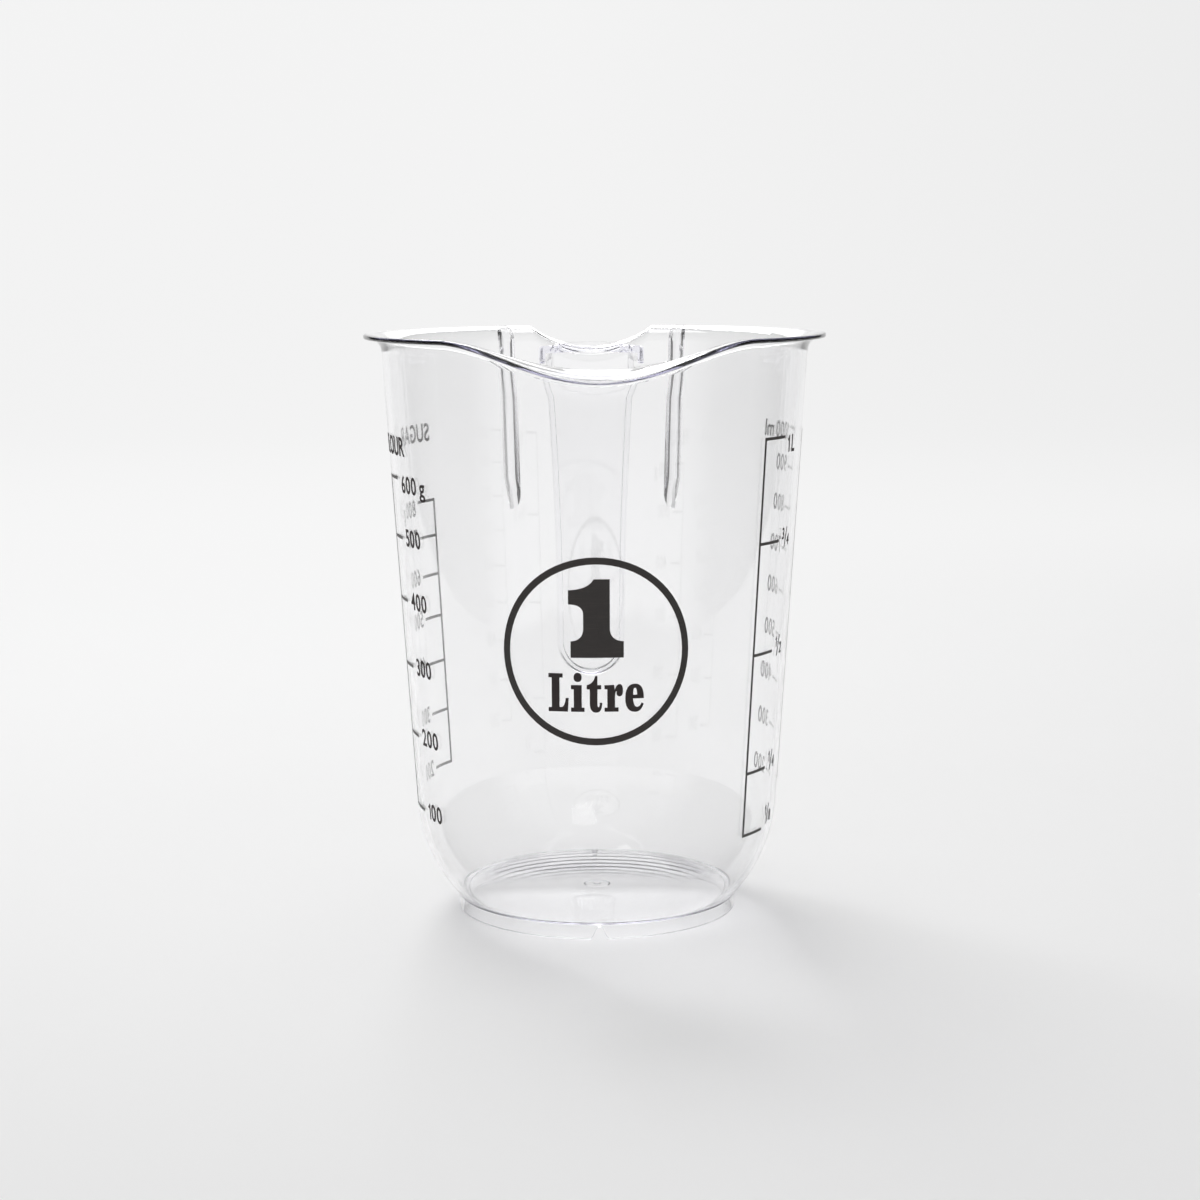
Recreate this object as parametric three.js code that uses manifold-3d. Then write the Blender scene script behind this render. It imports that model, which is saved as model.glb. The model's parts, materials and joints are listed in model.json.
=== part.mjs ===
// A clear plastic measuring jug: one moulding (foot ring, tapered wall, flared rim, pouring lip, hook handle)
// and the ink printed on its wall. Millimetres, +Z up. The pouring lip faces -Y and the handle +Y.
import * as THREE from "three";
import { TessellateModifier } from "three/addons/modifiers/TessellateModifier.js";
import { mergeVertices } from "three/addons/utils/BufferGeometryUtils.js";
import Module from "manifold-3d";

// Wall and foot
const HEIGHT = 158;
const MOUTH_RADIUS = 57.75; // outside of the wall's cone, carried on up to the rim
const WALL_TAPER = 3.68; // degrees from upright
const WALL = 1.5;
const BOWL_RADIUS = 40.4; // round between the wall and the foot
const FOOT_RADIUS = 38.4;
const FOOT_HEIGHT = 4.2;
const FOOT_WIDTH = 2.2;
const RECESS_DEPTH = 3.8; // hollow under the floor, inside the foot ring
const FLOOR_THICKNESS = 1.2;
const GATE_RADIUS = 3.75; // round mark under the middle of the floor
const GATE_DEPTH = 0.5;
const NOTCH_WIDTH = 4.8; // drain arches through the foot ring, front and back
const NOTCH_HEIGHT = 3.4;

// Flared rim, pouring lip and thumb dip
const FLANGE_REACH = 4.55; // rim flange, out from the wall's cone
const FLANGE_THICKNESS = 1.2;
const FLARE_RADIUS = 3.6; // outside round under the flange
const CREST_RADIUS = 5; // inside round where the wall turns out into the flange
const LIP_CREST_RADIUS = 1.5; // the same round in the middle of the pouring lip
const SPOUT_HALF_ANGLE = 41; // degrees each side of the lip's middle
const SPOUT_DROP = 7;
const LIP_DROOP = 2.4; // the lip's edge below its root
const LIP_REACH = 3; // the lip's edge past the rim flange
const THUMB_HALF_WIDTH = 18.2;
const THUMB_DEPTH = 6;

// Handle: a bridge behind the thumb dip that bends down into a free-hanging grip, hollow on the jug's side
const HANDLE_REACH = 90; // jug's axis to the back of the grip
const BRIDGE_WIDTH = 31; // where it meets the wall
const ELBOW_WIDTH = 27.4;
const ELBOW_SPAN = 9; // elbow's share of the bridge and of the grip, where their sides run straight
const GRIP_END_WIDTH = 21.5;
const GRIP_END_HEIGHT = 49; // grip's lower end above the table
const HANDLE_DEPTH = 5;
const HANDLE_SKIN = 2;
const HANDLE_EDGE = 1.8;

// Ribs that stiffen the rim beside the handle
const RIB_ANGLE = 25; // degrees each side of the handle
const RIB_THICKNESS = 3.6;
const RIB_DEPTH = 4.1; // out from the wall's cone
const RIB_LENGTH = 53;
const RIB_CHAMFER = 8.5;

// Printed ink
const INK_THICKNESS = 0.2;
const INK_CLEARANCE = 0.1;
const INK_STEP = 4; // longest edge of a printed film, so that it bends with the wall
const BADGE_ANGLE = -1; // degrees about the axis, from the pouring lip
const BADGE_HEIGHT = 79.4;
const BADGE_RADIUS = 24.4;
const BADGE_STROKE = 1.8;
const NUMERAL_WIDTH = 14.1;
const NUMERAL_GAP = 3.8; // numeral's top to the badge ring
const NUMERAL_BASE = -1.5; // numeral's foot from the badge's middle
const SCALE_STROKE = 0.8;
const TICK_LENGTH = 10.5;
const FULL_MARK_DROP = 26.3; // top mark of the litre scale below the rim
const FLOUR_AT_FULL = 670; // grams that fill the jug to its top mark
const SUGAR_AT_FULL = 1000;
const FLOUR_BOW = 0.05; // powder lies looser in a half full jug, by this much of the full share
const SUGAR_BOW = 0.264;
const FLOUR_EVEN = [-0.075, 0.91]; // shares at which it fills like a liquid
const SUGAR_EVEN = [0.26, 0.81];
const LITRE_ANGLE = 50.4;
const MILLILITRE_ANGLE = 84.8;
const FLOUR_ANGLE = -83;
const SUGAR_ANGLE = -121.5;

// Fineness of the solids
const LATHE_SEGMENTS = 72;
const BOWL_STEPS = 7;
const FLARE_STEPS = 5;
const CURVE_STEPS = 12;
const RING_STEPS = 36;
const FILL_LAYERS = 2000;

const wasm = await Module();
wasm.setup();

const { clamp, degToRad, lerp } = THREE.MathUtils;
const taper = degToRad(WALL_TAPER);
const floorTop = RECESS_DEPTH + FLOOR_THICKNESS;
const flangeRadius = MOUTH_RADIUS + FLANGE_REACH;
const coneRadius = (z) => MOUTH_RADIUS - (HEIGHT - z) * Math.tan(taper);

// Solids: three.js geometry to manifold-3d and back
function bare(geometry) {
  const plain = geometry.index ? geometry.toNonIndexed() : geometry.clone();
  for (const name of Object.keys(plain.attributes)) {
    if (name !== "position") plain.deleteAttribute(name);
  }
  plain.clearGroups();
  return plain;
}

function solid(geometry) {
  const merged = mergeVertices(bare(geometry), 1e-4);
  const vertProperties = merged.attributes.position.array;
  const triVerts = new Uint32Array(merged.index.array);
  return new wasm.Manifold(new wasm.Mesh({ numProp: 3, vertProperties, triVerts }));
}

function geometryOf(manifold) {
  const mesh = manifold.getMesh();
  const geometry = new THREE.BufferGeometry();
  geometry.setAttribute("position", new THREE.BufferAttribute(mesh.vertProperties, 3));
  geometry.setIndex(new THREE.BufferAttribute(mesh.triVerts, 1));
  geometry.computeVertexNormals();
  return geometry;
}

// Prisms: an outline in the side view (Y, Z), the front view (X, Z) or the plan (X, Y)
const axisX = new THREE.Vector3(1, 0, 0);
const axisY = new THREE.Vector3(0, 1, 0);
const axisZ = new THREE.Vector3(0, 0, 1);

function prism(shape, depth, curveSegments = CURVE_STEPS) {
  return new THREE.ExtrudeGeometry(shape, { depth, bevelEnabled: false, curveSegments });
}

function sidePrism(shape, width) {
  const geometry = prism(shape, width).translate(0, 0, -width / 2);
  return geometry.applyMatrix4(new THREE.Matrix4().makeBasis(axisY, axisZ, axisX));
}

function frontPrism(shape, nearY, farY) {
  const geometry = prism(shape, farY - nearY).translate(0, 0, -farY);
  return geometry.applyMatrix4(new THREE.Matrix4().makeBasis(axisX, axisZ, axisY.clone().negate()));
}

function planPrism(shape, lowZ, highZ) {
  return prism(shape, highZ - lowZ).translate(0, 0, lowZ);
}

// Middle of the bowl's round, tangent to the wall's cone and meeting the foot ring's top edge
function bowlCentre() {
  const slope = Math.tan(taper);
  const base =
    MOUTH_RADIUS - (HEIGHT + BOWL_RADIUS * Math.sin(taper)) * slope - BOWL_RADIUS * Math.cos(taper);
  const reach = FOOT_RADIUS - base;
  const a = 1 + slope * slope;
  const half = slope * reach + FOOT_HEIGHT;
  const rest = reach * reach + FOOT_HEIGHT * FOOT_HEIGHT - BOWL_RADIUS * BOWL_RADIUS;
  const z = (half + Math.sqrt(half * half - a * rest)) / a;
  return new THREE.Vector2(base + slope * z, z);
}

function arc(centre, radius, from, to, steps) {
  return Array.from({ length: steps + 1 }, (_, i) => {
    const angle = from + ((to - from) * i) / steps;
    return new THREE.Vector2(
      centre.x + radius * Math.cos(angle),
      centre.y + radius * Math.sin(angle),
    );
  });
}

// The wall's line (radius, height) from a height in the bowl up to the flange's edge, set in from the outside,
// with a round that turns it out level at the top
const bowl = bowlCentre();
const flareHeight = HEIGHT - FLANGE_THICKNESS - FLARE_RADIUS;

function wallLine(inset, startHeight, flareRadius, top) {
  const bowlRadius = BOWL_RADIUS - inset;
  const start = -Math.asin((bowl.y - startHeight) / bowlRadius);
  const middle = top - flareRadius;
  const foot = coneRadius(middle + flareRadius * Math.sin(taper)) - inset / Math.cos(taper);
  const flare = new THREE.Vector2(foot + flareRadius * Math.cos(taper), middle);
  return [
    ...arc(bowl, bowlRadius, start, -taper, BOWL_STEPS),
    ...arc(flare, flareRadius, Math.PI - taper, Math.PI / 2, FLARE_STEPS),
    new THREE.Vector2(flangeRadius, top),
  ];
}

// Dips of the rim: the pouring lip in front and the thumb dip behind
function spoutAmount(angle) {
  const share = Math.abs(angle) / degToRad(SPOUT_HALF_ANGLE);
  return share < 1 ? Math.cos((share * Math.PI) / 2) ** 2 : 0;
}

const thumbAngle = Math.asin(THUMB_HALF_WIDTH / flangeRadius);

function thumbDrop(angle) {
  const behind = Math.PI - Math.abs(angle);
  if (behind >= thumbAngle) return 0;
  const radius = (THUMB_HALF_WIDTH ** 2 + THUMB_DEPTH ** 2) / (2 * THUMB_DEPTH);
  const side = flangeRadius * Math.sin(behind);
  return Math.max(0, Math.sqrt(radius ** 2 - side ** 2) - radius + THUMB_DEPTH);
}

// A meridian that lies next to a corner of the thumb dip is moved onto it
function settle(angle) {
  const corner = Math.PI - thumbAngle;
  const near = Math.abs(Math.abs(angle) - corner) < Math.PI / LATHE_SEGMENTS;
  return near ? Math.sign(angle) * corner : angle;
}

// Turned solid whose rim slides down the wall's cone in the dips, with the lip drawn out and down.
// The section is a function of how much of the pouring lip a meridian takes.
function turned(section) {
  const count = section(0).length;
  const geometry = new THREE.LatheGeometry(section(0), LATHE_SEGMENTS).rotateX(Math.PI / 2);
  const position = geometry.attributes.position;
  for (let i = 0; i < position.count; i++) {
    const turn = (2 * Math.PI * Math.floor(i / count)) / LATHE_SEGMENTS;
    const angle = settle(Math.atan2(Math.sin(turn), Math.cos(turn)));
    const spout = spoutAmount(angle);
    const { x: radius, y: z } = section(spout)[i % count];
    const inRim = z > flareHeight && z <= HEIGHT;
    const out = inRim ? clamp((radius - coneRadius(z)) / FLANGE_REACH, 0, 1) : 0;
    const drop = inRim ? spout * SPOUT_DROP + thumbDrop(angle) : 0;
    const moved = radius - drop * Math.tan(taper) * (1 - out) + out * spout * LIP_REACH;
    position.setXYZ(
      i,
      moved * Math.sin(angle),
      -moved * Math.cos(angle),
      z - drop - out * spout * LIP_DROOP,
    );
  }
  return solid(geometry);
}

function bodySolid() {
  const point = (radius, z) => new THREE.Vector2(radius, z);
  return turned((spout) => [
    point(0, RECESS_DEPTH),
    point(FOOT_RADIUS - FOOT_WIDTH, RECESS_DEPTH),
    point(FOOT_RADIUS - FOOT_WIDTH, 0),
    point(FOOT_RADIUS, 0),
    ...wallLine(0, FOOT_HEIGHT, FLARE_RADIUS, HEIGHT - FLANGE_THICKNESS),
    ...wallLine(WALL, floorTop, lerp(CREST_RADIUS, LIP_CREST_RADIUS, spout ** 3), HEIGHT).reverse(),
    point(0, floorTop),
  ]);
}

// Everything inside the middle of the wall, which the handle and the ribs are cut back to
function coreSolid() {
  const top = HEIGHT + HANDLE_REACH;
  const line = wallLine(WALL / 2, floorTop, FLARE_RADIUS, HEIGHT - FLANGE_THICKNESS / 2);
  return turned(() => [
    new THREE.Vector2(0, floorTop),
    ...line.slice(0, -1),
    new THREE.Vector2(line.at(-2).x, top),
    new THREE.Vector2(0, top),
  ]);
}

// Handle: a folded band, trimmed to its plan and front outlines and hollowed on the jug's side
const bridgeTop = HEIGHT - THUMB_DEPTH;
const elbowY = HANDLE_REACH - ELBOW_SPAN;
const elbowZ = bridgeTop - ELBOW_SPAN;
const ribAngle = degToRad(RIB_ANGLE);
const bridgeRoot = coneRadius(bridgeTop);

function handleBand(near, far) {
  const shape = new THREE.Shape();
  shape.moveTo(0, bridgeTop - near);
  shape.lineTo(HANDLE_REACH - near, bridgeTop - near);
  shape.lineTo(HANDLE_REACH - near, 0);
  shape.lineTo(HANDLE_REACH - far, 0);
  shape.lineTo(HANDLE_REACH - far, bridgeTop - far);
  shape.lineTo(0, bridgeTop - far);
  return solid(sidePrism(shape, 2 * bridgeRoot));
}

function bridgeOutline(inset) {
  const root = BRIDGE_WIDTH / 2 - inset;
  const elbow = ELBOW_WIDTH / 2 - inset;
  const rootY = Math.sqrt(bridgeRoot ** 2 - (BRIDGE_WIDTH / 2) ** 2);
  const waistY = (rootY + elbowY) / 2;
  const shape = new THREE.Shape();
  shape.moveTo(-root, 0);
  shape.lineTo(-root, rootY);
  shape.bezierCurveTo(-root, waistY, -elbow, waistY, -elbow, elbowY);
  shape.lineTo(-elbow, HANDLE_REACH);
  shape.lineTo(elbow, HANDLE_REACH);
  shape.lineTo(elbow, elbowY);
  shape.bezierCurveTo(elbow, waistY, root, waistY, root, rootY);
  shape.lineTo(root, 0);
  return solid(planPrism(shape, elbowZ, HEIGHT));
}

function gripOutline(inset) {
  const top = ELBOW_WIDTH / 2 - inset;
  const end = GRIP_END_WIDTH / 2 - inset;
  const endZ = GRIP_END_HEIGHT + GRIP_END_WIDTH / 2;
  const middleZ = (elbowZ + endZ) / 2;
  const shape = new THREE.Shape();
  shape.moveTo(-top, HEIGHT);
  shape.lineTo(-top, elbowZ);
  shape.quadraticCurveTo(-end, middleZ, -end, endZ);
  shape.absarc(0, endZ, end, Math.PI, 2 * Math.PI, false);
  shape.quadraticCurveTo(end, middleZ, top, elbowZ);
  shape.lineTo(top, HEIGHT);
  return solid(frontPrism(shape, elbowY, HANDLE_REACH + HANDLE_DEPTH));
}

function handleSolid() {
  const outside = bridgeOutline(0).add(gripOutline(0)).intersect(handleBand(0, HANDLE_DEPTH));
  const hollowBand = handleBand(HANDLE_SKIN, HANDLE_DEPTH + HANDLE_SKIN);
  const hollow = bridgeOutline(HANDLE_EDGE).add(gripOutline(HANDLE_EDGE)).intersect(hollowBand);
  return outside.subtract(hollow);
}

// A rib is a plate in the plane of the axis, turned to its place beside the handle
function ribSolid(side) {
  const bottom = HEIGHT - RIB_LENGTH;
  const low = bottom + RIB_CHAMFER;
  const top = HEIGHT - FLANGE_THICKNESS / 2;
  const shape = new THREE.Shape();
  shape.moveTo(coneRadius(bottom) - 2 * WALL, bottom);
  shape.lineTo(coneRadius(bottom), bottom);
  shape.lineTo(coneRadius(low) + RIB_DEPTH, low);
  shape.lineTo(coneRadius(top) + RIB_DEPTH, top);
  shape.lineTo(coneRadius(bottom) - 2 * WALL, top);
  const plate = sidePrism(shape, RIB_THICKNESS).rotateZ(side * ribAngle);
  return solid(plate);
}

// Drain arch through one side of the foot ring
function notchSolid(side) {
  const half = NOTCH_WIDTH / 2;
  const shape = new THREE.Shape();
  shape.moveTo(-half, -FOOT_HEIGHT);
  shape.lineTo(half, -FOOT_HEIGHT);
  shape.lineTo(half, 0);
  shape.bezierCurveTo(half / 2, NOTCH_HEIGHT / 3, half / 2, NOTCH_HEIGHT, 0, NOTCH_HEIGHT);
  shape.bezierCurveTo(-half / 2, NOTCH_HEIGHT, -half / 2, NOTCH_HEIGHT / 3, -half, 0);
  const middle = side * (FOOT_RADIUS - FOOT_WIDTH / 2);
  return solid(frontPrism(shape, middle - FOOT_WIDTH, middle + FOOT_WIDTH));
}

function gateSolid() {
  const disc = new THREE.CylinderGeometry(GATE_RADIUS, GATE_RADIUS, 2 * GATE_DEPTH, 24);
  return solid(disc.rotateX(Math.PI / 2).translate(0, 0, RECESS_DEPTH));
}

function mouldingSolid() {
  const fittings = handleSolid().add(ribSolid(1)).add(ribSolid(-1)).subtract(coreSolid());
  const cuts = notchSolid(1).add(notchSolid(-1)).add(gateSolid());
  return bodySolid().add(fittings).subtract(cuts);
}

// Heights of the marks: the jug's inside, filled in thin layers
function insideRadius(z) {
  const inner = BOWL_RADIUS - WALL;
  const tangent = bowl.y - inner * Math.sin(taper);
  if (z > tangent) return coneRadius(z) - WALL / Math.cos(taper);
  return bowl.x + Math.sqrt(inner ** 2 - (bowl.y - z) ** 2);
}

const fullMark = HEIGHT - FULL_MARK_DROP;

function levelAt(share) {
  const layer = (fullMark - floorTop) / FILL_LAYERS;
  const middle = (i) => floorTop + (i + 0.5) * layer;
  const areas = Array.from({ length: FILL_LAYERS }, (_, i) => insideRadius(middle(i)) ** 2);
  const wanted = share * areas.reduce((sum, area) => sum + area, 0);
  let filled = 0;
  let count = 0;
  while (count < FILL_LAYERS && filled < wanted) {
    filled += areas[count];
    count += 1;
  }
  return floorTop + count * layer;
}

// A flat film laid round the wall: its x runs round the jug, its y is the height
function wrapped(film, angle, height) {
  const position = film.attributes.position;
  for (let i = 0; i < position.count; i++) {
    const z = height + position.getY(i);
    const turn = degToRad(angle) + position.getX(i) / coneRadius(z);
    const radius = coneRadius(z) + INK_CLEARANCE + position.getZ(i);
    position.setXYZ(i, radius * Math.sin(turn), -radius * Math.cos(turn), z);
  }
  return geometryOf(solid(film));
}

function outlineFilm(shape, curveSegments) {
  const film = bare(prism(shape, INK_THICKNESS, curveSegments));
  return new TessellateModifier(INK_STEP, CURVE_STEPS).modify(film);
}

// Film made of the filled cells of a grid, with side faces where a filled cell ends
function gridFilm(columns, rows, filled) {
  const corners = [];
  const quad = (a, b, c, d) => corners.push(a, b, c, a, c, d);
  const inGrid = (i, j) => i >= 0 && j >= 0 && i < columns.length - 1 && j < rows.length - 1;
  const solidAt = (i, j) => inGrid(i, j) && filled(i, j);
  for (let i = 0; i < columns.length - 1; i++) {
    for (let j = 0; j < rows.length - 1; j++) {
      if (!filled(i, j)) continue;
      const at = (right, up, out) =>
        new THREE.Vector3(columns[i + right], rows[j + up], out * INK_THICKNESS);
      quad(at(0, 0, 1), at(1, 0, 1), at(1, 1, 1), at(0, 1, 1));
      quad(at(0, 0, 0), at(0, 1, 0), at(1, 1, 0), at(1, 0, 0));
      if (!solidAt(i - 1, j)) quad(at(0, 0, 0), at(0, 0, 1), at(0, 1, 1), at(0, 1, 0));
      if (!solidAt(i + 1, j)) quad(at(1, 0, 0), at(1, 1, 0), at(1, 1, 1), at(1, 0, 1));
      if (!solidAt(i, j - 1)) quad(at(0, 0, 0), at(1, 0, 0), at(1, 0, 1), at(0, 0, 1));
      if (!solidAt(i, j + 1)) quad(at(0, 1, 0), at(0, 1, 1), at(1, 1, 1), at(1, 1, 0));
    }
  }
  return new THREE.BufferGeometry().setFromPoints(corners);
}

function badgeRing() {
  const shape = new THREE.Shape();
  shape.absarc(0, 0, BADGE_RADIUS, 0, 2 * Math.PI, false);
  const hole = new THREE.Path();
  hole.absarc(0, 0, BADGE_RADIUS - BADGE_STROKE, 0, 2 * Math.PI, true);
  shape.holes.push(hole);
  return shape;
}

// Slab numeral one, drawn in shares of its width and height
function badgeNumeral() {
  const top = BADGE_RADIUS - BADGE_STROKE - NUMERAL_GAP;
  const x = (share) => (share - 0.5) * NUMERAL_WIDTH;
  const y = (share) => NUMERAL_BASE + share * (top - NUMERAL_BASE);
  const shape = new THREE.Shape();
  shape.moveTo(x(0.04), y(0));
  shape.lineTo(x(1), y(0));
  shape.lineTo(x(1), y(0.21));
  shape.quadraticCurveTo(x(0.75), y(0.22), x(0.75), y(0.38));
  shape.lineTo(x(0.75), y(1));
  shape.lineTo(x(0.46), y(1));
  shape.quadraticCurveTo(x(0.36), y(0.87), x(0), y(0.86));
  shape.lineTo(x(0), y(0.68));
  shape.quadraticCurveTo(x(0.27), y(0.68), x(0.27), y(0.55));
  shape.lineTo(x(0.27), y(0.38));
  shape.quadraticCurveTo(x(0.27), y(0.22), x(0.04), y(0.21));
  return shape;
}

// Upright line with a tick to the right at each mark, from the lowest up
function scaleComb(marks) {
  const half = SCALE_STROKE / 2;
  const tickCells = Math.ceil(TICK_LENGTH / INK_STEP);
  const columns = [0];
  for (let i = 0; i <= tickCells; i++) {
    columns.push(SCALE_STROKE + ((TICK_LENGTH - SCALE_STROKE) * i) / tickCells);
  }
  const rows = marks.flatMap((mark) => [mark - half, mark + half]);
  return gridFilm(columns, rows, (i, j) => i === 0 || j % 2 === 0);
}

const range = (low, high, step) =>
  Array.from({ length: Math.round((high - low) / step) + 1 }, (_, i) => low + i * step);

const litreShares = [1 / 8, 1 / 4, 1 / 2, 3 / 4, 1];
const millilitreShares = range(200, 1000, 100).map((amount) => amount / 1000);
const settled = (share, bow, [low, high]) => share + bow * (share - low) * (high - share);
const flourShares = range(100, 600, 100).map((grams) => settled(grams / FLOUR_AT_FULL, FLOUR_BOW, FLOUR_EVEN));
const sugarShares = range(200, 800, 100).map((grams) => settled(grams / SUGAR_AT_FULL, SUGAR_BOW, SUGAR_EVEN));

const clearPlastic = new THREE.MeshStandardMaterial({
  color: 0xe8ebf5,
  roughness: 0.06,
  metalness: 0,
  transparent: true,
  opacity: 0.35,
});
const blackInk = new THREE.MeshStandardMaterial({ color: 0x241d1a, roughness: 0.5, metalness: 0 });

// The jug's axis stands where the whole object's box is centred on the origin
const jug = new THREE.Group();
jug.position.y = (flangeRadius + LIP_REACH - HANDLE_REACH) / 2;

function place(name, geometry, material) {
  const mesh = new THREE.Mesh(geometry, material);
  mesh.name = name;
  jug.add(mesh);
}

place("jug_moulding", geometryOf(mouldingSolid()), clearPlastic);
const ringFilm = outlineFilm(badgeRing(), RING_STEPS);
const numeralFilm = outlineFilm(badgeNumeral(), CURVE_STEPS);
place("badge_ring", wrapped(ringFilm, BADGE_ANGLE, BADGE_HEIGHT), blackInk);
place("badge_numeral", wrapped(numeralFilm, BADGE_ANGLE, BADGE_HEIGHT), blackInk);
const scales = [
  ["litre_scale", LITRE_ANGLE, litreShares],
  ["millilitre_scale", MILLILITRE_ANGLE, millilitreShares],
  ["flour_scale", FLOUR_ANGLE, flourShares],
  ["sugar_scale", SUGAR_ANGLE, sugarShares],
];
for (const [name, angle, shares] of scales) {
  place(name, wrapped(scaleComb(shares.map(levelAt)), angle, 0), blackInk);
}

export default jug;
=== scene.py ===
"""Looks of a clear plastic measuring jug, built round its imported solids. Metres, +Z up, pouring lip towards -Y."""

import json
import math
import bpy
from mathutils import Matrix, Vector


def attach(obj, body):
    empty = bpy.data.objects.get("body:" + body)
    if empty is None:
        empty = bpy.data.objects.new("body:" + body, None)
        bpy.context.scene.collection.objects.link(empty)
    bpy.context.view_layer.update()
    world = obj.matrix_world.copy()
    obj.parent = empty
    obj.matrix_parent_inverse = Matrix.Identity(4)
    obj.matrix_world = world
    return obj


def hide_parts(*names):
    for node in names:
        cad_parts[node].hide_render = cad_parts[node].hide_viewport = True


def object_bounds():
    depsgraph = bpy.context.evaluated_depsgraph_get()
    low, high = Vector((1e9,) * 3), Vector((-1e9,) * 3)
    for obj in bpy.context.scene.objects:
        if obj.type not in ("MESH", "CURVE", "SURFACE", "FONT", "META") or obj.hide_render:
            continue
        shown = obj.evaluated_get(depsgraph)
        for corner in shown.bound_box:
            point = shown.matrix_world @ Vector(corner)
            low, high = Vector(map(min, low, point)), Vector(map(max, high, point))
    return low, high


bl_info = {
    "name": "Clear Measuring Jug",
    "version": (1, 0, 0),
    "blender": (4, 5, 0),
    "location": "3D View > Sidebar > Jug",
    "description": "Moulds a clear one litre measuring jug, prints its scales and sets a pale studio",
    "category": "Add Mesh",
}

import bmesh
import bpy
from bpy.props import FloatProperty, FloatVectorProperty, PointerProperty, StringProperty
from mathutils import Matrix, Vector
from mathutils.kdtree import KDTree

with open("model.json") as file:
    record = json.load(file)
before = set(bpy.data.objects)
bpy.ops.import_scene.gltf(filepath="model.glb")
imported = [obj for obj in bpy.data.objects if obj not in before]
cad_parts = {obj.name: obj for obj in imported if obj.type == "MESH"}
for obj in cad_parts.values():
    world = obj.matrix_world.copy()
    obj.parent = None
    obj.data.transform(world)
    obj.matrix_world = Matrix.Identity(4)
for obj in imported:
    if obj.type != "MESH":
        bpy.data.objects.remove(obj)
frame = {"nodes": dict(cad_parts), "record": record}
cad_low, cad_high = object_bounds()

BODY = "root"
MM = 0.001

# Places that the frame gives
AXIS_Y = frame["record"]["mounts"][0]["pos_m"][1]  # the jug's own axis stands over the base mount's middle
FLANGE_RADIUS = cad_high.x
LIP_REACH = AXIS_Y - cad_low.y - FLANGE_RADIUS
HANDLE_REACH = cad_high.y - AXIS_Y

# Fineness of the meshes
TURN_STEPS = 600
BOWL_STEPS = 24
WALL_STEPS = 10
FLARE_STEPS = 10
ROUND_STEPS = 5
CURVE_STEPS = 16
ELBOW_CUTS = 36
GRIP_CUTS = 16
LETTER_STEPS = 6
PAPER_STEPS = 24
CORNER_ANGLE = math.radians(28)
SAME_PLACE = 1e-7
MERGE = 0.001 * MM
LETTER_MERGE = 1e-5  # in the letters' own size

# Grain of the ink and the plastic
STREAK_SCALE = 2600
STREAK_STRETCH = (0.06, 0.06, 1)  # streaks run level
STREAK_EDGE = (0.52, 0.72)  # from where the noise is a streak, and from where it is a full one
PATCH_SCALE = 180
INK_ROUGHNESS = (0.42, 0.6)
PLASTIC_IOR = 1.57
PLASTIC_ROUGHNESS = (0.01, 0.05)
WAVE_SCALE = 45
WAVE_STRENGTH = 0.06
WAVE_DEPTH = 0.4 * MM
HAZE_SCALE = 120
HAZE_EDGE = (0.4, 0.8)

# Light of the room, by the direction that it comes from
ROOM_FRONT = (-0.62, -0.2)  # y of a direction, from the front light to the dark behind
ROOM_FRONT_LIGHT = (1.1, 0.08)
ROOM_RISE = (0.15, 0.5)  # z of a direction, from the low light to the weak light above
ROOM_RISE_SHARE = (1, 0.2)
ROOM_MIRRORED_SHARE = 0.6  # least share that the plastic mirrors or lets through
LIGHT_BOUNCES = 20  # enough for the floor; light that runs on in the wall is lost, and the rim's edge stays dark

# Soft boxes: name, place, size, watts, target, spread in degrees, and whether they show through the plastic
SOFT_BOXES = (
    ("top_box", (-0.06, 0.12, 1.3), (1.1, 0.75), 5.2, (0, AXIS_Y, 0.05), 180, True),
    ("back_box", (-0.62, 1.6, 1.95), (1.2, 1.0), 17, (0.05, -0.5, 0), 100, False),
)


# Sizes and colours that a user would change


def length(name, description, default):
    """A size in metres."""
    return FloatProperty(
        name=name, description=description, default=default, subtype="DISTANCE", unit="LENGTH", precision=5
    )


def angle(name, description, degrees):
    """An angle, written in degrees."""
    return FloatProperty(
        name=name, description=description, default=math.radians(degrees), subtype="ANGLE", unit="ROTATION"
    )


def number(name, description, default):
    """A plain number, such as a share."""
    return FloatProperty(name=name, description=description, default=default)


def colour(name, description, default):
    """A linear colour."""
    return FloatVectorProperty(
        name=name, description=description, default=default, subtype="COLOR", size=3, min=0, max=1
    )


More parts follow.
